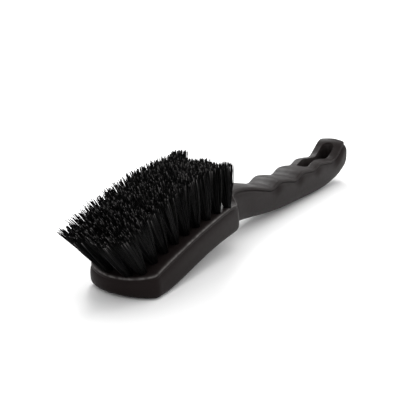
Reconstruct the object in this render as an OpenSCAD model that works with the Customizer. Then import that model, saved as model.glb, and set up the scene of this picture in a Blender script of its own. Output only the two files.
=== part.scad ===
// Wheel brush: one-piece moulded block and handle, with staple-set filament tufts.
// Drawn with X towards the head's front and Z towards the tips, then set down on its back.

/* [Head] */
// Length of the head from its rear shoulder to its front
head_len = 90.2; // [80:0.1:110]
// Width of the head just behind its front corners
head_w = 36.6; // [30:0.5:50]
// Thickness of the head at its middle
head_t = 15.8; // [12:0.1:20]
// Radius of the gentle arch of the tufted face along its length
face_r = 389; // [250:1:900]
// How much each side of the head closes in towards its rear
rear_taper = 1.6; // [0:0.1:3]
// How far the front bows out ahead of its corners
front_bow = 6.5; // [2:0.1:12]
// Length of a rounded front corner
corner_len = 4.5; // [3:0.1:10]
// Squareness of a rounded front corner
front_n = 4; // [2:0.1:5]
// Radius of the edge around the back of the head
back_r = 3.2; // [2:0.1:6]

/* [Raised edge] */
// How far the top edge stands inside the side wall on the head
lip_in_head = 0.8; // [0.3:0.1:2]
// How far the top edge stands inside the side wall on the handle
lip_in_grip = 1.5; // [1:0.1:4]
// Height of the top edge above the crease
lip_h = 2.2; // [1.5:0.1:4]
// How far the head's rear corners fall below the middle
corner_drop = 2; // [0:0.1:3]

/* [Handle] */
// Length of the handle behind the head
grip_len = 185; // [150:1:240]
// Half-width of the handle at its grip
grip_half = 10.2; // [8:0.1:14]
// Half-width of the handle at its neck
neck_half = 9.8; // [7:0.1:12]
// Half-width of the handle at its rounded end
end_half = 10.5; // [8:0.1:14]
// Length of the handle's rounded end
end_len = 13; // [10:0.5:16]
// Scale on the height of the finger grooves
groove_k = 1; // [0:0.05:1.5]

/* [Hanging slot] */
// Half-width of the slot's wide end
slot_big_r = 3.8; // [3:0.1:5]
// Half-width of the slot's small end
slot_small_r = 3.2; // [2:0.1:4]
// Half-width of the slot's waist
slot_waist_r = 2.6; // [1:0.1:3]

/* [Tufts] */
// Distance between neighbouring tufts along a row
tuft_pitch = 9.4; // [7:0.1:12]
// How far every second row is shifted forwards
stagger = 3.8; // [0:0.1:6]
// Distance between neighbouring rows from the middle of the head forwards
row_pitch = 5.2; // [5:0.1:7]
// How much wider apart the rows stand at the rear
row_flare = 1.7; // [0:0.1:2]
// Distance between neighbouring rows at the tips
tip_pitch = 6.3; // [5:0.1:8]
// Number of tufts in each row
tufts_per_row = 9; // [6:1:9]
// Radius of a tuft hole
hole_r = 2.1; // [1.5:0.05:2.5]
// Depth of a tuft hole along its own axis
hole_depth = 10.5; // [8:0.5:12]
// Height of the tips above the face at the middle
trim_h = 26.3; // [20:0.1:40]
// Radius of the arch that the tips are trimmed to
trim_r = 453; // [200:1:900]
// Radius of a tuft at its tip
tip_r = 3.75; // [2.5:0.05:4.5]
// Forward lean of the frontmost tufts
lean_max = 37; // [0:1:50]

/* [Anchors] */
// Thickness of an anchor
anchor_t = 0.4; // [0.2:0.05:0.6]
// Width of an anchor across its hole
anchor_w = 4.9; // [4.5:0.1:6]
// Height of an anchor
anchor_h = 2; // [1:0.1:3]

/* [Hidden] */
rows = 5;
hw = head_w / 2;
rear_hw = hw - rear_taper;
front_x = head_len - front_bow - corner_len;
end_x = end_len - grip_len;
tilt = 10.36;
rest_z = 28.166;
rest_x = 39.443;
tuft_x0 = 6.5;
trim_x = 50;
drawn_head_t = 15.2;
over_long = 1.4;
big = 400;

// Curve helpers: a smooth step, and a smooth curve through control points in rising X.
function clamp01(t) = max(0, min(1, t));
function step3(a, b, x) = let (t = clamp01((x - a) / (b - a))) t * t * (3 - 2 * t);
function span(p, x, i = 0) = i >= len(p) - 2 || x < p[i + 1][0] ? i : span(p, x, i + 1);
function chord(p, i) = (p[i + 1][1] - p[i][1]) / (p[i + 1][0] - p[i][0]);
function grad(p, i) = i <= 0 ? chord(p, 0)
  : i >= len(p) - 1 ? chord(p, len(p) - 2)
  : (chord(p, i - 1) + chord(p, i)) / 2;
function curve(p, x) =
  let (
    i = span(p, x),
    d = p[i + 1][0] - p[i][0],
    t = (x - p[i][0]) / d,
    a = p[i][1],
    b = p[i + 1][1],
    u = t < 0 ? 0 : t > 1 ? 1 : t
  )
  a * (1 + 2 * u) * (1 - u) * (1 - u) + grad(p, i) * d * u * (1 - u) * (1 - u)
  + b * u * u * (3 - 2 * u) + grad(p, i + 1) * d * u * u * (u - 1);

// Side view of the finger side: an arched head face, a falling neck and a grooved grip.
function face_z(x) = -(x - 40) * (x - 40) / (2 * (x > 40 ? 1.5 * face_r : face_r));
grip_top = [
  [-188, -37.4], [-181, -34.2], [-173, -32.9], [-165, -35.8], [-156, -38.2], [-143, -34.7],
  [-131, -31.5], [-123, -32], [-113, -28.8], [-103, -26.6], [-95, -27.4], [-82, -22.7],
  [-71, -19.3], [-62, -19.8], [-48, -14.3], [-34, -8.2], [-20, -3.3], [-12, -1.5], [-5, -1.2],
  [0, -2.06]
];
function plain_top(x) = -20 + (x + 62) * 0.187;
function groove(x) = curve(grip_top, x);
function top_z(x) =
  x > 0 ? face_z(x)
  : x > -62 ? groove(x)
  : plain_top(x) + groove_k * (groove(x) - plain_top(x));

// Side view of the back: nearly flat under the head, then a long convex belly.
back = [
  [-188, -49.5], [-179, -53.2], [-168, -55.3], [-157, -55.9], [-144, -55], [-128, -52.2],
  [-109, -48.1], [-87, -43.4], [-67, -38.5], [-49, -33.3], [-30, -27.4], [-12, -22],
  [0, -18.4], [12, -16.4], [26, -15.2], [40, -14.9], [58, -15.1], [70, -14.8], [80, -13.4],
  [91, -10.6]
];
function back_z(x) = curve(back, x) - (head_t - drawn_head_t) * step3(-50, 10, x);

// Plan view of the side walls, as a half-width along X.
plan = [
  [-172, end_half], [-165, end_half + 0.2], [-156, end_half - 0.1], [-130, grip_half], [-100, grip_half],
  [-70, grip_half - 0.1], [-40, neck_half], [-16, neck_half], [-10.4, neck_half + 0.4],
  [-8, neck_half + 1.5], [-6.4, neck_half + 3.1], [-4.8, rear_hw - 2.4], [-2.8, rear_hw - 1],
  [-0.4, rear_hw - 0.2], [3, rear_hw], [60, hw - 0.2 * rear_taper], [91, hw]
];

// Stations along one side: the rounded end of the handle, the sides, the rounded front.
n_end = 8;
n_front = 12;
mid_x = concat(
  [for (x = [end_x : 3.4 : -24]) x],
  [for (x = [-20 : 1.4 : 8]) x],
  [for (x = [12 : 7.2 : front_x - 3]) x]
);
function end_pt(t) = [end_x - end_len * pow(sin(t), 0.92), end_half * pow(max(cos(t), 0), 0.92)];
function front_pt(t) =
  let (half = pow(max(cos(t), 0), 2 / front_n))
  [front_x + corner_len * pow(sin(t), 2 / front_n) + front_bow * (1 - half * half), hw * half];
side = concat(
  [for (i = [0 : n_end - 1]) end_pt(90 - 90 * i / n_end)],
  [for (x = mid_x) [x, curve(plan, x)]],
  [for (i = [0 : n_front]) front_pt(90 * (1 - pow(1 - i / n_front, 1.6)))]
);
ns = len(side);

// Outward normal at a station, taken from its neighbours mirrored at both tips.
function at(i) = i < 0 ? [side[-i][0], -side[-i][1]]
  : i >= ns ? [side[2 * ns - 2 - i][0], -side[2 * ns - 2 - i][1]]
  : side[i];
function nrm(i) = let (d = at(i + 1) - at(i - 1)) [-d[1], d[0]] / norm(d);
function inset(i, e) = let (p = side[i] - e * nrm(i)) [p[0], i == 0 || i == ns - 1 ? 0 : p[1]];

// The face's height anywhere: the rear corners of the head fall away on each side of the neck.
function corner(p) = step3(4, -5, p[0]) * step3(8, 14, abs(p[1]));
function face_at(p) = top_z(p[0]) - corner_drop * corner(p);

// How round the belly is: 0 on the head, 1 on the handle.
function soft(x) = step3(10, -28, x);
function lip_in(x) =
  lip_in_head + (lip_in_grip - lip_in_head) * step3(-2, -18, x) + 3 * step3(-174, -185, x);
function belly_v(x) = back_r + (9.2 - back_r) * soft(x);
function belly_h(x) = back_r + (8.9 - back_r) * soft(x);

// Levels from the face down to the back: each is a distance in from the side wall and a height.
// Level -1 is a ring on the face, halfway in from the edge.
function level(j, i) = j < 0 ? let (q = level(0, i)) [q[0], q[1] / 2, top_z(q[0])] :
  let (
    x = side[i][0],
    k = lip_in(x),
    c = 0.25 + 0.35 * step3(-2, -18, x),
    a = max(0, j - 8) * 90 / 5,
    e = j == 0 ? k + 1.5
      : j == 1 ? k + 0.45
      : j == 2 ? k + 0.05
      : j == 3 ? k
      : j == 4 ? k + c
      : j == 5 ? 0.62 * k
      : j == 6 ? 0.15 * k
      : belly_h(x) * (1 - cos(a)),
    p = inset(i, e),
    t = face_at(p),
    b = back_z(p[0]),
    wall = t - lip_h - 3.2,
    foot = b + belly_v(x),
    z = j == 0 ? t
      : j == 1 ? t - 0.25
      : j == 2 ? t - 0.9
      : j == 3 ? t - lip_h + 0.5
      : j == 4 ? t - lip_h
      : j == 5 ? t - lip_h - 0.7
      : j == 6 ? wall + 0.9
      : j == 7 ? min(wall, (wall + foot) / 2 + 0.6)
      : b + min(belly_v(x), wall - b - 1) * (1 - sin(a))
  )
  [p[0], p[1], z];

levels = 15;
// Each level is one closed loop: up the near side, then back along the far side.
loop_n = 2 * ns - 2;
function loop_pt(j, k) =
  k < ns ? level(j, k) : let (q = level(j, 2 * ns - 2 - k)) [q[0], -q[1], q[2]];
body_pts = [for (j = [-1 : levels - 2]) for (k = [0 : loop_n - 1]) loop_pt(j, k)];
wall_faces = [
  for (j = [0 : levels - 2]) for (k = [0 : loop_n - 1])
    let (
      a = j * loop_n + k,
      b = j * loop_n + (k + 1) % loop_n,
      c = a + loop_n,
      d = b + loop_n
    )
    each [[a, d, b], [a, c, d]]
];
function strip(o, up) = [
  for (k = [1 : ns - 3])
    let (
      a = o + k,
      b = o + k + 1,
      c = o + loop_n - k,
      d = o + loop_n - k - 1
    )
    each up ? [[a, b, c], [b, d, c]] : [[a, c, b], [b, c, d]]
];
function tips(o, up) = [
  up ? [o, o + 1, o + loop_n - 1] : [o, o + loop_n - 1, o + 1],
  up ? [o + ns - 2, o + ns - 1, o + ns] : [o + ns - 2, o + ns, o + ns - 1]
];
last = (levels - 1) * loop_n;
cap_faces = concat(strip(0, true), tips(0, true), strip(last, false), tips(last, false));

// Where a tuft stands, and how it leans.
function row_gap(x) = row_pitch + row_flare * pow(max(0, (60 - x) / 54), 1.5);
function from_middle(r) = r - (rows - 1) / 2;
function row_y(r, x) = from_middle(r) * row_gap(x);
function tuft_x(r, i) = tuft_x0 + (r % 2) * stagger + i * tuft_pitch;
function lean(x) = lean_max * clamp01((x - 4) / 78);
function side_lean(r, x) = atan(from_middle(r) * (tip_pitch - row_gap(x)) / trim_h);
// Where the middle of a tuft's tips stands; the tips of the leaning tufts are trimmed lower.
function tip_x(x) = x + (trim_h - 0.08 * max(0, x - 20)) * tan(lean(x));

module set_down() {
  translate([rest_x, 0, rest_z])
    rotate([0, tilt, 0])
      children();
}

module at_tuft(r, i) {
  x = tuft_x(r, i);
  translate([x, row_y(r, x), face_z(x)])
    rotate([-side_lean(r, x), lean(x), 0])
      children();
}

module anchor_shape() {
  translate([-anchor_t / 2, -anchor_w / 2, 1 - hole_depth])
    cube([anchor_t, anchor_w, anchor_h]);
}

// A true bore: it starts well above the face and stops at the blind end.
module tuft_bore(r, i) {
  at_tuft(r, i) {
    translate([0, 0, -hole_depth])
      cylinder(r = hole_r, h = hole_depth + 8, $fn = 64);
    anchor_shape();
  }
}

module slot_lobe(x, rr) {
  translate([x, 0, top_z(x) - 40])
    cylinder(r = rr, h = 80, $fn = 64);
}

module slot_taper(x0, r0, x1, r1) {
  translate([0, 0, -80])
    linear_extrude(80)
      polygon([[x0, -r0], [x1, -r1], [x1, r1], [x0, r0]]);
}

// The hanging slot: two round-ended lobes that narrow to a waist between them.
module hanging_slot() {
  slot_lobe(-166, slot_big_r);
  slot_taper(-166, slot_big_r, -158, slot_big_r);
  slot_taper(-158, slot_big_r, -147, slot_waist_r);
  slot_taper(-147, slot_waist_r, -141, slot_waist_r);
  slot_taper(-141, slot_waist_r, -134, slot_small_r);
  slot_taper(-134, slot_small_r, -124, slot_small_r);
  slot_lobe(-124, slot_small_r);
}

module block() {
  color([0.13, 0.125, 0.125])
    set_down()
      difference() {
        polyhedron(points = body_pts, faces = concat(wall_faces, cap_faces), convexity = 8);
        for (r = [0 : rows - 1])
          for (i = [0 : tufts_per_row - 1])
            tuft_bore(r, i);
        hanging_slot();
      }
}

// One tuft: the folded root fills its hole, and the filaments spread up to the trimmed tips.
// The spreading cone is drawn over-long, then cut along the trimmed arch.
module tuft(r, i) {
  x = tuft_x(r, i);
  u = tip_x(x);
  slope = atan(-(u - trim_x) / trim_r);
  reach = (trim_h - face_z(x)) / cos(lean(x));
  color([0.05, 0.05, 0.05])
    set_down()
      difference() {
        intersection() {
          at_tuft(r, i) {
            translate([0, 0, -hole_depth])
              cylinder(r = hole_r, h = hole_depth, $fn = 64);
            cylinder(
              r1 = hole_r, r2 = hole_r + (tip_r - hole_r) * over_long, h = reach * over_long, $fn = 64
            );
          }
          translate([u, 0, trim_h - (u - trim_x) * (u - trim_x) / (2 * trim_r)])
            rotate([0, -slope, 0])
              translate([-big / 2, -big / 2, -big])
                cube([big, big, big]);
        }
        at_tuft(r, i)
          anchor_shape();
      }
}

// The flat wire anchors of one row.
module anchors(r) {
  color([0.72, 0.7, 0.66])
    set_down()
      for (i = [0 : tufts_per_row - 1])
        at_tuft(r, i)
          anchor_shape();
}

block();
for (r = [0 : rows - 1])
  for (i = [0 : tufts_per_row - 1])
    tuft(r, i);
for (r = [0 : rows - 1])
  anchors(r);
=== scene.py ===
import math

import bmesh
import bpy
import numpy as np
from mathutils import Matrix


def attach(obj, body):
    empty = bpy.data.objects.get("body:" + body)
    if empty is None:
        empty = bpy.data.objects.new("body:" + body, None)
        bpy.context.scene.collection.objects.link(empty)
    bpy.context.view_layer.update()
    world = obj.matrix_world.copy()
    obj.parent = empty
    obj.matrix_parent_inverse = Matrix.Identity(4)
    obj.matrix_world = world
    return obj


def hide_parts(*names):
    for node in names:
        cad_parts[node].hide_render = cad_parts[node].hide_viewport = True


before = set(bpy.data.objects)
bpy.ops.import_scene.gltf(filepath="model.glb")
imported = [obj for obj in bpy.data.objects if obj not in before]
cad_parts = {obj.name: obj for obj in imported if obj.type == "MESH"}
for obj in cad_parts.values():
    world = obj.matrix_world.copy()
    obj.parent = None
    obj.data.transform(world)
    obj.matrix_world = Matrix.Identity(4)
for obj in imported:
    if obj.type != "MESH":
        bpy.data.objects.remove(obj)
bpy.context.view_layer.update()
print("frame loaded:", len(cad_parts), "nodes")

# The brush is worked out in millimetres with x towards the head's front and z towards the tips,
# then turned and lifted so that it lies on its back, as the CAD part does.
mm = 0.001
lying = {"tilt": 10.36, "x": 39.443, "z": 28.166}


def lieDown(points):
    a = math.radians(lying["tilt"])
    p = np.asarray(points, float)
    out = np.empty_like(p)
    out[..., 0] = math.cos(a) * p[..., 0] + math.sin(a) * p[..., 2] + lying["x"]
    out[..., 1] = p[..., 1]
    out[..., 2] = -math.sin(a) * p[..., 0] + math.cos(a) * p[..., 2] + lying["z"]
    return out * mm


def standUp(points):
    a = math.radians(lying["tilt"])
    p = np.asarray(points, float) / mm - [lying["x"], 0, lying["z"]]
    out = np.array(p)
    out[..., 0] = math.cos(a) * p[..., 0] - math.sin(a) * p[..., 2]
    out[..., 2] = math.sin(a) * p[..., 0] + math.cos(a) * p[..., 2]
    return out


# ---- shader helpers: a wrapped socket that turns arithmetic into nodes
class Wire:
    def __init__(self, tree, socket):
        self.tree = tree
        self.socket = socket

    def calc(self, operation, a, b):
        return addNode(self.tree, "ShaderNodeMath", {"operation": operation}, {0: a, 1: b})

    def __add__(self, other):
        return self.calc("ADD", self, other)

    __radd__ = __add__

    def __mul__(self, other):
        return self.calc("MULTIPLY", self, other)

    __rmul__ = __mul__

    def __sub__(self, other):
        return self.calc("SUBTRACT", self, other)

    def __rsub__(self, other):
        return self.calc("SUBTRACT", other, self)

    def __pow__(self, other):
        return self.calc("POWER", self, other)

    def clamp(self):
        return addNode(self.tree, "ShaderNodeClamp", {}, {"Value": self})

    def blend(self, low, high):
        # the colour low where this value is 0 and high where it is 1; either may be a wire
        low, high = (c if isinstance(c, Wire) else (*c, 1) for c in (low, high))
        return addNode(
            self.tree, "ShaderNodeMix", {"data_type": "RGBA"},
            {"Factor": self, "A": low, "B": high}, "Result",
        )


def feed(tree, socket, value):
    if isinstance(value, Wire):
        tree.links.new(value.socket, socket)
    else:
        socket.default_value = value


def enabledSocket(sockets, name):
    # by place or by name: a node may hold several sockets of one name, one of them enabled
    return sockets[name] if isinstance(name, int) else next(
        s for s in sockets if s.enabled and s.name == name)


def addNode(tree, kind, settings, values, output=0):
    node = tree.nodes.new(kind)
    for name, value in settings.items():
        setattr(node, name, value)
    for name, value in values.items():
        feed(tree, enabledSocket(node.inputs, name), value)
    return Wire(tree, enabledSocket(node.outputs, output))


def newMaterial(name):
    material = bpy.data.materials.new(name)
    material.use_nodes = True
    tree = material.node_tree
    shader = next(n for n in tree.nodes if n.type == "BSDF_PRINCIPLED")
    return material, tree, shader


def setShader(tree, shader, **values):
    for name, value in values.items():
        feed(tree, shader.inputs[name.replace("_", " ")], value)


# ---- curves shared by the block and the tufts
def smoothStep(a, b, x):
    t = np.clip((np.asarray(x, float) - a) / (b - a), 0, 1)
    return t * t * (3 - 2 * t)


def curveThrough(points, x):
    # a smooth curve through the points, whose slope at each is the mean of its two chords
    p = np.asarray(points, float)
    x = np.asarray(x, float)
    chord = np.diff(p[:, 1]) / np.diff(p[:, 0])
    slope = np.concatenate([chord[:1], (chord[1:] + chord[:-1]) / 2, chord[-1:]])
    i = np.clip(np.searchsorted(p[:, 0], x, side="right") - 1, 0, len(p) - 2)
    d = p[i + 1, 0] - p[i, 0]
    u = np.clip((x - p[i, 0]) / d, 0, 1)
    value = p[i, 1] * (1 + 2 * u) * (1 - u) ** 2 + slope[i] * d * u * (1 - u) ** 2
    return value + p[i + 1, 1] * u * u * (3 - 2 * u) + slope[i + 1] * d * u * u * (u - 1)


# ---- block: head and handle in one moulding
block = {
    "headLength": 90.2, "halfWidth": 18.3, "rearTaper": 1.6,
    "headThickness": 15.8, "drawnThickness": 15.2, "thickerOver": (-50, 10),
    "faceRadius": 389, "faceFlatter": 1.5, "faceTop": 40,
    "frontBow": 6.5, "cornerLength": 4.5, "cornerSquareness": 4, "backRound": 3.2,
    "lipOnHead": 0.8, "lipOnHandle": 1.5, "lipAtEnd": 3, "lipHeight": 2.2,
    "creaseOnHead": 0.25, "creaseOnHandle": 0.6, "wallDrop": 3.5,
    "cornerDrop": 2, "cornerOver": (-5, 4), "cornerAcross": (8, 14),
    "bellyDown": 9.2, "bellyAcross": 8.9,
    "neckOver": (-18, -2), "bellyOver": (-28, 10), "endOver": (-185, -174),
    "handleLength": 185, "endLength": 13, "gripHalf": 10.2, "neckHalf": 9.8, "endHalf": 10.5,
    "endRoundness": 0.92, "crown": 0.55, "crownOver": (-16, -4),
    # where along the raised edge the highlight is painted, and how much of it the handle gets
    "rimAt": 0.5, "rimReach": 0.45, "rimOnHandle": 0.2, "rimOver": (-12, 0),
    "spacing": 1.9, "stripsAcross": 10, "sharpAngle": 40,
}
block["fingerLine"] = [
    (-188, -37.4), (-181, -34.2), (-173, -32.9), (-165, -35.8), (-156, -38.2), (-143, -34.7),
    (-131, -31.5), (-123, -32), (-113, -28.8), (-103, -26.6), (-95, -27.4), (-82, -22.7),
    (-71, -19.3), (-62, -19.8), (-48, -14.3), (-34, -8.2), (-20, -3.3), (-12, -1.5), (-5, -1.2),
    (0, -2.06),
]
block["backLine"] = [
    (-188, -49.5), (-179, -53.2), (-168, -55.3), (-157, -55.9), (-144, -55), (-128, -52.2),
    (-109, -48.1), (-87, -43.4), (-67, -38.5), (-49, -33.3), (-30, -27.4), (-12, -22),
    (0, -18.4), (12, -16.4), (26, -15.2), (40, -14.9), (58, -15.1), (70, -14.8), (80, -13.4),
    (91, -10.6),
]


def planLine():
    # half-widths of the side wall along x: the end, the grip, the neck, the shoulder and the head
    end, grip, neck, front = (block[k] for k in ("endHalf", "gripHalf", "neckHalf", "halfWidth"))
    rear = front - block["rearTaper"]
    return [
        (-172, end), (-165, end + 0.2), (-156, end - 0.1), (-130, grip), (-100, grip),
        (-70, grip - 0.1), (-40, neck), (-16, neck), (-10.4, neck + 0.4), (-8, neck + 1.5),
        (-6.4, neck + 3.1), (-4.8, rear - 2.4), (-2.8, rear - 1), (-0.4, rear - 0.2), (3, rear),
        (60, front - 0.2 * block["rearTaper"]), (91, front),
    ]


def faceHeight(x):
    fromTop = np.asarray(x, float) - block["faceTop"]
    radius = np.where(fromTop > 0, block["faceFlatter"], 1) * block["faceRadius"]
    return -(fromTop**2) / (2 * radius)


def topHeight(x):
    x = np.asarray(x, float)
    return np.where(x > 0, faceHeight(x), curveThrough(block["fingerLine"], x))


def faceAt(x, y):
    # the head's rear corners fall away on each side of the neck
    corner = 1 - smoothStep(*block["cornerOver"], x)
    corner = corner * smoothStep(*block["cornerAcross"], np.abs(y))
    return topHeight(x) - block["cornerDrop"] * corner


def backHeight(x):
    thicker = block["headThickness"] - block["drawnThickness"]
    return curveThrough(block["backLine"], x) - thicker * smoothStep(*block["thickerOver"], x)


def sideStations():
    # the outline's near side from the tip of the handle's end to the tip of the head's front
    b = block
    endX = b["endLength"] - b["handleLength"]
    frontX = b["headLength"] - b["cornerLength"] - b["frontBow"]
    t = np.radians(np.linspace(90, 0, 15)[:-1])
    end = np.stack([
        endX - b["endLength"] * np.sin(t) ** b["endRoundness"],
        b["endHalf"] * np.maximum(np.cos(t), 0) ** b["endRoundness"]], 1)
    # twice as many stations at the shoulder, where the neck widens into the head
    middleX = np.concatenate([
        np.arange(endX, -20, b["spacing"]), np.arange(-20, 6, b["spacing"] / 2),
        np.arange(6, frontX - 0.5, b["spacing"])])
    middle = np.stack([middleX, curveThrough(planLine(), middleX)], 1)
    # the front: a tight corner at the side, then a bow, with its stations closer near the tip
    t = np.radians(90 * (1 - (1 - np.linspace(0, 1, 25)) ** 1.6))
    power = 2 / b["cornerSquareness"]
    half = np.maximum(np.cos(t), 0) ** power
    front = np.stack([
        frontX + b["cornerLength"] * np.sin(t) ** power + b["frontBow"] * (1 - half**2),
        b["halfWidth"] * half], 1)
    side = np.concatenate([end, middle, front])
    side[[0, -1], 1] = 0
    return side


def outwardNormals(side):
    mirrored = side * [1, -1]
    wide = np.concatenate([mirrored[1:2], side, mirrored[-2:-1]])
    d = wide[2:] - wide[:-2]
    n = np.stack([-d[:, 1], d[:, 0]], 1)
    return n / np.linalg.norm(n, axis=1, keepdims=True)


def blockProfile(x):
    # from the face over the raised edge, into the crease, down the wall and round the back:
    # each step is a distance in from the wall and a drop from the face or a rise from the back
    b = block
    onHandle = 1 - smoothStep(*b["neckOver"], x)
    soft = 1 - smoothStep(*b["bellyOver"], x)
    lip = b["lipOnHead"] + (b["lipOnHandle"] - b["lipOnHead"]) * onHandle
    lip = lip + b["lipAtEnd"] * (1 - smoothStep(*b["endOver"], x))
    crease = b["creaseOnHead"] + (b["creaseOnHandle"] - b["creaseOnHead"]) * onHandle
    up = b["lipHeight"]
    down = b["backRound"] + (b["bellyDown"] - b["backRound"]) * soft
    across = b["backRound"] + (b["bellyAcross"] - b["backRound"]) * soft
    steps = [
        (lip + 1.5, 0, "top"), (lip + 0.8, 0.1, "top"), (lip + 0.3, 0.38, "top"),
        (lip + 0.05, 0.9, "top"), (lip, up - 0.75, "top"), (lip + 0.25 * crease, up - 0.3, "top"),
        (lip + crease, up, "top"), (0.8 * lip + 0.4 * crease, up + 0.3, "top"),
        (0.5 * lip, up + 1.0, "top"), (0.2 * lip, up + 2.2, "top"),
        (0, up + b["wallDrop"], "top"), (0, 0.5, "wall"),
    ]
    for a in np.radians(np.linspace(0, 90, 10)):
        steps.append((across * (1 - math.cos(a)), down * (1 - math.sin(a)), "back"))
    return steps, down


def blockSurface():
    side = sideStations()
    normals = outwardNormals(side)
    steps, down = blockProfile(side[:, 0])
    rings = []
    for inset, height, base in steps:
        p = side - np.asarray(inset * np.ones(len(side)))[:, None] * normals
        p[[0, -1], 1] = 0
        top, back = faceAt(p[:, 0], p[:, 1]), backHeight(p[:, 0])
        wallTop = top - block["lipHeight"] - block["wallDrop"]
        foot = back + np.minimum(down, wallTop - back - 1)
        if base == "top":
            z = top - height
        elif base == "wall":
            z = foot + height * (wallTop - foot)
        else:
            z = back + height * (foot - back) / down
        rings.append(np.column_stack([p, z]))
    return side, rings


def blockMesh():
    side, rings = blockSurface()
    count = len(side)
    vertices, faces = [], []
    for ring in rings:
        far = ring[-2:0:-1] * [1, -1, 1]
        vertices.append(np.concatenate([ring, far]))
    loop = 2 * count - 2
    for j in range(len(rings) - 1):
        for k in range(loop):
            a, b = j * loop + k, j * loop + (k + 1) % loop
            faces.append((a, a + loop, b + loop, b))
    # the face and the back are closed by strips that run across, the face with a slight crown
    across = block["stripsAcross"]
    for j, isTop in ((0, True), (len(rings) - 1, False)):
        ring = rings[j]
        start = sum(len(v) for v in vertices)
        inner = []
        for i in range(1, count - 1):
            x, half, z = ring[i]
            s = np.linspace(1, -1, across + 1)[1:-1]
            height = np.full(len(s), z)
            if isTop:
                onHandle = float(1 - smoothStep(*block["crownOver"], x))
                crown = block["crown"] * (1 - s**2) * onHandle * min(1, half / 5)
                height = faceAt(x, half * s) + crown
            inner.append(np.column_stack([np.full(len(s), x), half * s, height]))
        vertices.append(np.concatenate(inner))
        first = j * loop

        def at(i, c):
            if c == 0:
                return first + i
            if c == across:
                return first + loop - i
            return start + (i - 1) * (across - 1) + c - 1

        for i in range(1, count - 2):
            for c in range(across):
                quad = (at(i, c), at(i + 1, c), at(i + 1, c + 1), at(i, c + 1))
                faces.append(quad if isTop else quad[::-1])
        for tip, i in ((first, 1), (first + count - 1, count - 2)):
            for c in range(across):
                tri = (tip, at(i, c), at(i, c + 1)) if i == 1 else (tip, at(i, c + 1), at(i, c))
                faces.append(tri if isTop else tri[::-1])
    return np.concatenate(vertices), faces


def meshObject(name, points, faces):
    mesh = bpy.data.meshes.new(name)
    mesh.from_pydata(lieDown(points).tolist(), [], [tuple(int(v) for v in f) for f in faces])
    mesh.validate()
    mesh.polygons.foreach_set("use_smooth", [True] * len(mesh.polygons))
    ob = bpy.data.objects.new(name, mesh)
    bpy.context.scene.collection.objects.link(ob)
    return ob


def turnFacesOut(ob):
    bm = bmesh.new()
    bm.from_mesh(ob.data)
    bmesh.ops.recalc_face_normals(bm, faces=bm.faces)
    bm.to_mesh(ob.data)
    bm.free()


def applyModifier(ob, kind, **settings):
    modifier = ob.modifiers.new(kind.lower(), kind)
    for name, value in settings.items():
        setattr(modifier, name, value)
    graph = bpy.context.evaluated_depsgraph_get()
    mesh = bpy.data.meshes.new_from_object(ob.evaluated_get(graph))
    ob.modifiers.clear()
    old, ob.data = ob.data, mesh
    bpy.data.meshes.remove(old)


def markSharp(ob, degrees):
    bm = bmesh.new()
    bm.from_mesh(ob.data)
    for face in bm.faces:
        face.smooth = True
    for edge in bm.edges:
        edge.smooth = edge.calc_face_angle(0) < math.radians(degrees)
    bm.to_mesh(ob.data)
    bm.free()


def markEdges(ob):
    # marks each vertex with how far it lies on the rounding of the raised edge, where a highlight is
    # painted, and with whether it is on a wall of the hanging slot, where shade is painted
    places = np.empty(len(ob.data.vertices) * 3, np.float32)
    ob.data.vertices.foreach_get("co", places)
    p = standUp(places.reshape(-1, 3))
    drop = faceAt(p[:, 0], p[:, 1]) - p[:, 2]
    onHandle = block["rimOnHandle"]
    rim = np.clip(1.1 - np.abs(drop - block["rimAt"]) / block["rimReach"], 0, 1)
    rim *= onHandle + (1 - onHandle) * smoothStep(*block["rimOver"], p[:, 0])
    inSlot = (drop > slot["wallFrom"]) & (p[:, 2] > backHeight(p[:, 0]) + slot["wallAbove"])
    inSlot &= (np.abs(p[:, 1]) < slot["wallWithin"]) & (p[:, 0] < slot["wallBefore"])
    for name, values in (("rim", rim), ("inSlot", inSlot)):
        mark = ob.data.attributes.new(name, "FLOAT", "POINT")
        mark.data.foreach_set("value", values.astype(np.float32))


# ---- hanging slot: two lobes joined by a waist, with softened rims
slot = {
    "halfWidths": [(-166, 3.8), (-158, 3.8), (-147, 2.6), (-141, 2.6), (-134, 3.2), (-124, 3.2)],
    "rim": 0.9, "rimSteps": (8, 35, 62, 90), "clear": 6,
    # where the slot's walls get their painted shade
    "wallFrom": 1.2, "wallAbove": 0.3, "wallWithin": 4.6, "wallBefore": -118,
}


def slotOutline():
    w = slot["halfWidths"]
    (wideX, wide), (smallX, small) = w[0], w[-1]
    x = np.linspace(wideX, smallX, 40)
    side = np.column_stack([x, curveThrough(w, x)])
    t = np.radians(np.linspace(90, 270, 15))[1:-1]
    wideEnd = np.column_stack([wideX + wide * np.cos(t), wide * np.sin(t)])
    t = np.radians(np.linspace(90, -90, 13))[1:-1]
    smallEnd = np.column_stack([smallX + small * np.cos(t), small * np.sin(t)])
    return np.concatenate([side, smallEnd, side[::-1] * [1, -1], wideEnd[::-1]])


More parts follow.
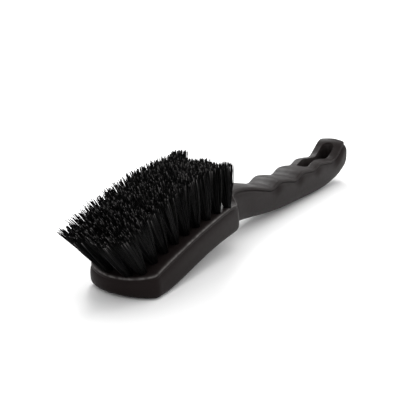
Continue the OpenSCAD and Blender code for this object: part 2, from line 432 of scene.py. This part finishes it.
def slotCutter():
    # wider at both rims, where it rounds over, and standing clear of the block above and below
    outline = slotOutline()
    d = np.roll(outline, -1, 0) - np.roll(outline, 1, 0)
    n = np.stack([-d[:, 1], d[:, 0]], 1)
    n /= np.linalg.norm(n, axis=1, keepdims=True)
    around = [(slot["rim"], -slot["clear"])]
    for a in np.radians(slot["rimSteps"]):
        around.append((slot["rim"] * (1 - math.sin(a)), slot["rim"] * (1 - math.cos(a))))
    rings = []
    for grow, sink in around:
        p = outline + grow * n
        rings.append(np.column_stack([p, topHeight(p[:, 0]) + block["crown"] - sink]))
    for grow, sink in around[::-1]:
        p = outline + grow * n
        rings.append(np.column_stack([p, backHeight(p[:, 0]) + sink]))
    count = len(outline)
    faces = [tuple(range(count)), tuple(range((len(rings) - 1) * count, len(rings) * count))]
    for j in range(len(rings) - 1):
        for k in range(count):
            a, b = j * count + k, j * count + (k + 1) % count
            faces.append((a, b, b + count, a + count))
    return meshObject("slotCutter", np.concatenate(rings), faces)


# ---- tufts: five staggered rows, fanned forwards and sideways
tufts = {
    "rows": 5, "perRow": 9, "firstX": 6.5, "pitch": 9.4, "stagger": 3.8,
    "rowPitch": 5.2, "rowFlare": 1.7, "flareFrom": 60, "flareOver": 54, "flarePower": 1.5,
    "leanMost": 37, "leanFrom": 4, "leanOver": 78, "tipPitch": 6.3,
    "holeRadius": 2.1, "holeDepth": 10.5, "holeSides": 28, "cutAbove": 6,
    "trimHeight": 26.3, "trimRadius": 453, "trimX": 50, "trimGuess": 26,
    "rearDrop": 2.4, "rearOver": (6, 20), "midRise": 1.8, "midFrom": (12, 35), "midTo": (66, 84),
}
strand = {
    "count": 124, "radius": 0.195, "radiusRange": (0.88, 1.1), "rootRadius": 1.85, "rootDepth": 3,
    # half the size of a tuft's patch of tips, and how far ahead the frontmost ones reach
    "tipAhead": 5.6, "tipBehind": 5.6, "tipWide": 3.9, "tipAheadFront": 2.4, "frontFrom": 79,
    "squareness": 0.8, "spread": 0.12, "fanLong": 0.02, "fanWide": 0.016,
    "goldenTurn": 2.39996, "turnScatter": 0.12, "anyTurn": 6.3, "fullTurn": 6.283,
    "strayShare": 0.03, "strayFan": 0.06,
    # how much shorter than the trim: all of them, most at random, and a few a good deal
    "belowTrim": 0.3, "unevenness": 0.9, "shortShare": 0.05, "shortBy": (0.5, 2.5),
    "bend": 0.495, "bendEase": 0.55, "bulge": 0.4,
    "crimp": 0.13, "crimpWave": (3.6, 5.4), "crimpFade": 6,
    "cutEnd": 0.86, "tipDome": 0.55, "segments": 8, "sides": 5,
}


def tuftPlaces():
    t = tufts
    for r in range(t["rows"]):
        for i in range(t["perRow"]):
            x = t["firstX"] + r % 2 * t["stagger"] + i * t["pitch"]
            flare = max(0, (t["flareFrom"] - x) / t["flareOver"]) ** t["flarePower"]
            gap = t["rowPitch"] + t["rowFlare"] * flare
            fromMiddle = r - (t["rows"] - 1) / 2
            lean = math.radians(t["leanMost"] * min(max(0, (x - t["leanFrom"]) / t["leanOver"]), 1))
            side = math.atan(fromMiddle * (t["tipPitch"] - gap) / t["trimHeight"])
            yield r, i, x, fromMiddle * gap, lean, side


def tuftAxes(lean, side):
    along = np.array([math.cos(lean), 0, -math.sin(lean)])
    up = np.array([math.cos(side) * math.sin(lean), math.sin(side), math.cos(side) * math.cos(lean)])
    return along, np.cross(up, along), up


def holeCutters():
    points, faces, sides = [], [], tufts["holeSides"]
    for r, i, x, y, lean, side in tuftPlaces():
        along, wide, up = tuftAxes(lean, side)
        base = np.array([x, y, float(faceHeight(x))])
        start = len(points)
        for depth in (-tufts["holeDepth"], tufts["cutAbove"]):
            for k in range(sides):
                a = 2 * math.pi * k / sides
                rim = tufts["holeRadius"] * (math.cos(a) * along + math.sin(a) * wide)
                points.append(base + rim + depth * up)
        faces.append(tuple(range(start + sides - 1, start - 1, -1)))
        faces.append(tuple(range(start + sides, start + 2 * sides)))
        for k in range(sides):
            n = (k + 1) % sides
            faces.append((start + k, start + n, start + sides + n, start + sides + k))
    return meshObject("holeCutters", points, faces)


def trimAt(x):
    return tufts["trimHeight"] - (x - tufts["trimX"]) ** 2 / (2 * tufts["trimRadius"])


def belowArch(r, x):
    # the tips stand below the trimmed arch at the rear of all rows but the first, and above it
    # over the middle of the head
    t = tufts
    lower = t["rearDrop"] * float(1 - smoothStep(*t["rearOver"], x)) if r else 0
    return lower - t["midRise"] * float(smoothStep(*t["midFrom"], x) * (1 - smoothStep(*t["midTo"], x)))


def strandLines(x, y, lean, side, lower, rng):
    # every strand starts inside the hole, spreads with its place in the bundle and ends at the trim
    t, n = strand, strand["count"]
    along, wide, up = tuftAxes(lean, side)
    base = np.array([x, y, float(faceHeight(x))])
    reach = (float(trimAt(x + tufts["trimGuess"] * math.tan(lean))) - base[2]) / up[2]
    k = np.arange(n)
    far = np.sqrt((k + 0.5) / n)
    turn = k * t["goldenTurn"] + rng.uniform(0, t["anyTurn"]) + rng.normal(0, t["turnScatter"], n)
    cosT, sinT = np.cos(turn) * far, np.sin(turn) * far
    outward = cosT[:, None] * along + sinT[:, None] * wide
    root = base + t["rootRadius"] * outward
    spread = rng.normal(1, t["spread"], n)
    # the round bundle opens out to a squarish patch of tips, so that neighbours meet
    square = (np.hypot(cosT, sinT) / np.maximum(np.abs(cosT), np.abs(sinT))) ** t["squareness"]
    ahead = t["tipAheadFront"] if x > t["frontFrom"] else t["tipAhead"]
    tipLong = np.where(cosT > 0, ahead, t["tipBehind"]) * square - t["rootRadius"]
    tipWide = t["tipWide"] * square - t["rootRadius"]
    fanLong = tipLong / reach * spread * cosT + rng.normal(0, t["fanLong"], n)
    fanWide = tipWide / reach * spread * sinT + rng.normal(0, t["fanWide"], n)
    stray = rng.random(n) < t["strayShare"]
    fanLong = fanLong + stray * rng.normal(0, t["strayFan"], n)
    way = up + fanLong[:, None] * along + fanWide[:, None] * wide
    length = np.full(n, reach)
    # a few rounds bring each tip onto the arch
    for _ in range(5):
        tip = root + way * length[:, None]
        length = length + (trimAt(tip[:, 0]) - lower - tip[:, 2]) / way[:, 2]
    short = t["belowTrim"] + rng.random(n) ** 2 * t["unevenness"]
    short = short + (rng.random(n) < t["shortShare"]) * rng.uniform(*t["shortBy"], n)
    return root, way, length - short, outward, along, wide


def strandTubes(root, way, length, outward, along, wide, rng):
    # a thin bent and crimped tube along each line, closed at its tip, with its marks: how far
    # along the strand a vertex is, and a shade that differs from strand to strand and picks the strands
    # with painted highlights and glints
    t, n = strand, strand["count"]
    bend = rng.normal(0, t["bend"], (n, 2))
    phase, wave = rng.uniform(0, t["anyTurn"], n), rng.uniform(*t["crimpWave"], n)
    waveTurn = rng.uniform(0, t["anyTurn"], n)
    thickness = t["radius"] * rng.uniform(*t["radiusRange"], n)
    shade = rng.random(n)
    bendWay = bend[:, :1] * along + bend[:, 1:] * wide
    crimpWay = np.cos(waveTurn)[:, None] * along + np.sin(waveTurn)[:, None] * wide
    sides, segments = t["sides"], t["segments"]
    rings, marks = [], []
    for j in range(segments + 1):
        d = (length + t["rootDepth"]) * j / segments - t["rootDepth"]
        out = np.maximum(d, 0) / length
        bulge = t["bulge"] * 4 * np.clip(out * (1 - out), 0, 1)
        crimp = t["crimp"] * np.sin(d * t["fullTurn"] / wave + phase)
        crimp = crimp * np.minimum(1, out * t["crimpFade"])
        centre = root + way * d[:, None] + bendWay * (out * (1 - t["bendEase"] * out))[:, None]
        centre = centre + bulge[:, None] * outward + crimp[:, None] * crimpWay
        radius = thickness * (t["cutEnd"] if j == segments else 1)
        for m in range(sides):
            a = 2 * math.pi * m / sides
            rings.append(centre + radius[:, None] * (math.cos(a) * along + math.sin(a) * wide))
            marks.append(np.column_stack([np.clip(out, 0, 1), shade]))
    upward = way / np.linalg.norm(way, axis=1, keepdims=True)
    rings.append(centre + upward * thickness[:, None] * t["tipDome"])
    marks.append(np.column_stack([np.ones(n), shade]))
    points, marks = np.stack(rings, 1), np.stack(marks, 1)  # by strand, then by vertex
    faces = []
    for j in range(segments):
        for m in range(sides):
            o, p = j * sides + m, j * sides + (m + 1) % sides
            faces.append((o, p, p + sides, o + sides))
    top = segments * sides
    faces += [(top + m, top + (m + 1) % sides, top + sides) for m in range(sides)]
    perStrand = points.shape[1]
    allFaces = [tuple(v + k * perStrand for v in face) for k in range(n) for face in faces]
    return points.reshape(-1, 3), marks.reshape(-1, 2), allFaces


# ---- materials
plastic = {
    "dark": (0.0085, 0.0062, 0.0060), "pale": (0.0140, 0.0106, 0.0103),
    # the edge colour is a painted highlight on the raised edge, the slot's colour a painted shade on its
    # walls
    "edge": (0.15, 0.143, 0.14), "slotShade": (0.0006, 0.0005, 0.0005),
    "roughness": 0.42, "roughInSlot": 0.5, "roughByCloud": 0.10, "roughBySpeck": 0.12,
    "grain": 0.2, "grainDepth": 0.0002, "specular": 0.035,
    "cloudScale": 26.0, "speckScale": 420.0, "grainScale": 1400.0,
}
filament = {
    # the tip colour is partly the strands' pale cut ends and partly a painted highlight; some strands
    # get a painted glint along the body
    "root": (0.0005, 0.0005, 0.0005), "tip": (0.13, 0.126, 0.125), "tipPower": 12,
    "litFrom": 0.76, "litGain": 4.2, "bodyGlint": 0.035,
    "roughness": 0.38, "roughAtTip": 0.25, "specular": 0.035,
}
steel = {"colour": (0.62, 0.61, 0.58), "roughness": 0.35}


def blockPlastic():
    material, tree, shader = newMaterial("blockPlastic")
    p = plastic
    place = addNode(tree, "ShaderNodeTexCoord", {}, {}, "Object")

    def noise(scale, detail, roughness=0.5):
        return addNode(tree, "ShaderNodeTexNoise", {}, {
            "Vector": place, "Scale": scale, "Detail": detail, "Roughness": roughness})

    cloud, speck = noise(p["cloudScale"], 3.0), noise(p["speckScale"], 2.0)
    grain = noise(p["grainScale"], 3.0, 0.6)
    tone = (cloud * 0.7 + grain * 0.3).clamp()
    # painted highlight: the raised edge is paler, in flecks; painted shade: the slot's walls are darker
    rim = addNode(tree, "ShaderNodeAttribute", {"attribute_name": "rim"}, {}, "Fac")
    inSlot = addNode(tree, "ShaderNodeAttribute", {"attribute_name": "inSlot"}, {}, "Fac")
    rimHighlight = (rim * (speck * 1.6 - 0.2)).clamp()
    colour = rimHighlight.blend(tone.blend(p["dark"], p["pale"]), p["edge"])
    uneven = (cloud - 0.5) * p["roughByCloud"] + (speck - 0.5) * p["roughBySpeck"]
    bumps = addNode(
        tree, "ShaderNodeBump", {},
        {"Strength": p["grain"], "Distance": p["grainDepth"], "Height": grain * 0.7 + speck * 0.5})
    setShader(
        tree, shader, Base_Color=inSlot.blend(colour, p["slotShade"]),
        Roughness=(p["roughness"] + uneven + inSlot * p["roughInSlot"]).clamp(),
        Normal=bumps, IOR=1.49, Specular_IOR_Level=p["specular"])
    return material


def filamentPlastic():
    # near black, with pale tips on some strands only, partly their paler cut ends and partly a painted
    # highlight, and a painted glint along some strands' bodies
    material, tree, shader = newMaterial("filamentPlastic")
    f = filament
    mark = addNode(tree, "ShaderNodeAttribute", {"attribute_name": "strand"}, {}, "Color")
    along = addNode(tree, "ShaderNodeSeparateColor", {}, {"Color": mark}, "Red")
    shade = addNode(tree, "ShaderNodeSeparateColor", {}, {"Color": mark}, "Green")
    nearTip = along ** f["tipPower"]
    lit = ((shade - f["litFrom"]) * f["litGain"]).clamp()
    tone = (nearTip * lit + shade * shade * f["bodyGlint"]).clamp()
    setShader(
        tree, shader, Base_Color=tone.blend(f["root"], f["tip"]),
        Roughness=(f["roughness"] + nearTip * f["roughAtTip"]).clamp(), IOR=1.5,
        Specular_IOR_Level=f["specular"])
    return material


def anchorSteel():
    material, tree, shader = newMaterial("anchorSteel")
    setShader(tree, shader, Base_Color=(*steel["colour"], 1), Metallic=1.0, Roughness=steel["roughness"])
    return material


# ---- build the block
vertices, faces = blockMesh()
blockPiece = meshObject("block_moulding", vertices, faces)
turnFacesOut(blockPiece)
applyModifier(blockPiece, "SUBSURF", levels=1, render_levels=1)
for cutter in (holeCutters(), slotCutter()):
    turnFacesOut(cutter)
    applyModifier(blockPiece, "BOOLEAN", operation="DIFFERENCE", solver="EXACT", object=cutter)
    bpy.data.objects.remove(cutter)
markSharp(blockPiece, block["sharpAngle"])
markEdges(blockPiece)
blockPiece.data.materials.clear()
blockPiece.data.materials.append(blockPlastic())
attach(blockPiece, "root")
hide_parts("block")
print("block made:", len(blockPiece.data.polygons), "faces")

# ---- build the tufts
black = filamentPlastic()
for r, i, x, y, lean, side in tuftPlaces():
    node = f"tuft_r{r + 1}_{i + 1}"
    rng = np.random.default_rng(1000 + 20 * r + i)
    lines = strandLines(x, y, lean, side, belowArch(r, x), rng)
    points, marks, faces = strandTubes(*lines, rng)
    piece = meshObject(node + "_strands", points, faces)
    colour = piece.data.color_attributes.new("strand", "FLOAT_COLOR", "POINT")
    rgba = np.column_stack([marks, np.zeros(len(marks)), np.ones(len(marks))]).astype(np.float32)
    colour.data.foreach_set("color", rgba.ravel())
    piece.data.materials.append(black)
    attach(piece, "root")
    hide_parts(node)
print("tufts made:", strand["count"], "strands each")

# ---- the anchors keep their CAD shape
shine = anchorSteel()
for name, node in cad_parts.items():
    if name.startswith("anchors_row"):
        for place in node.material_slots:
            place.material = shine
print("anchors finished")

# ---- floor, light and camera
studio = {
    "floor": (0.9, 0.9, 0.9), "floorSize": 40,
    "world": (1, 1, 1), "worldStrength": 1.0, "sun": 0.6, "sunSpread": 80,
}
lamps = {
    "overhead": {"place": (0.1, 0.0, 1.1), "size": 0.9, "power": 2},
    "behind": {"place": (-0.8, -0.5, 0.7), "size": 0.4, "power": 7},
    "rim": {"place": (-0.95, 0.5, 0.55), "size": 0.25, "power": 1.5},
}
view = {
    "azimuth": 28.92, "elevation": 24.42, "roll": -2.33, "distance": 482.9,
    "lens": 84.8, "shiftX": -0.0220, "shiftY": -0.0138,
}


def makeFloor():
    bpy.ops.mesh.primitive_plane_add(size=studio["floorSize"], location=(0, 0, 0))
    floor = bpy.context.object
    floor.name = "floor"
    material, tree, shader = newMaterial("floorPaint")
    setShader(tree, shader, Base_Color=(*studio["floor"], 1), Roughness=0.9)
    floor.data.materials.append(material)


def makeLights():
    world = bpy.data.worlds.new("studio")
    bpy.context.scene.world = world
    world.use_nodes = True
    back = next(n for n in world.node_tree.nodes if n.type == "BACKGROUND")
    back.inputs["Color"].default_value = (*studio["world"], 1)
    back.inputs["Strength"].default_value = studio["worldStrength"]
    for name, values in lamps.items():
        lamp = bpy.data.lights.new(name, "AREA")
        lamp.shape = "DISK"
        lamp.size = values["size"]
        lamp.energy = values["power"]
        ob = bpy.data.objects.new(name, lamp)
        bpy.context.scene.collection.objects.link(ob)
        ob.location = values["place"]
        ob.rotation_euler = (-ob.location).to_track_quat("-Z", "Y").to_euler()


def makeSun():
    lamp = bpy.data.lights.new("sun", "SUN")
    lamp.energy = studio["sun"]
    lamp.angle = math.radians(studio["sunSpread"])
    ob = bpy.data.objects.new("sun", lamp)
    bpy.context.scene.collection.objects.link(ob)


def makeCamera():
    a, e, roll = (math.radians(view[k]) for k in ("azimuth", "elevation", "roll"))
    away = np.array([math.cos(e) * math.cos(a), math.cos(e) * math.sin(a), math.sin(e)])
    right = np.array([-math.sin(a), math.cos(a), 0])
    up = np.cross(away, right)
    across = right * math.cos(roll) + up * math.sin(roll)
    upright = up * math.cos(roll) - right * math.sin(roll)
    axes = [across, upright, away]
    place = lieDown(away * view["distance"])
    origin = lieDown([0, 0, 0])
    columns = [(lieDown(v) - origin) / mm for v in axes]
    camera = bpy.data.cameras.new("camera")
    camera.lens = view["lens"]
    camera.sensor_width = 36
    camera.shift_x = view["shiftX"]
    camera.shift_y = view["shiftY"]
    ob = bpy.data.objects.new("camera", camera)
    bpy.context.scene.collection.objects.link(ob)
    matrix = Matrix.Identity(4)
    for c in range(3):
        for k in range(3):
            matrix[k][c] = columns[c][k]
        matrix[c][3] = place[c]
    ob.matrix_world = matrix
    bpy.context.scene.camera = ob


makeFloor()
makeLights()
makeSun()
makeCamera()
bpy.context.scene.view_settings.view_transform = "Standard"
print("studio ready")
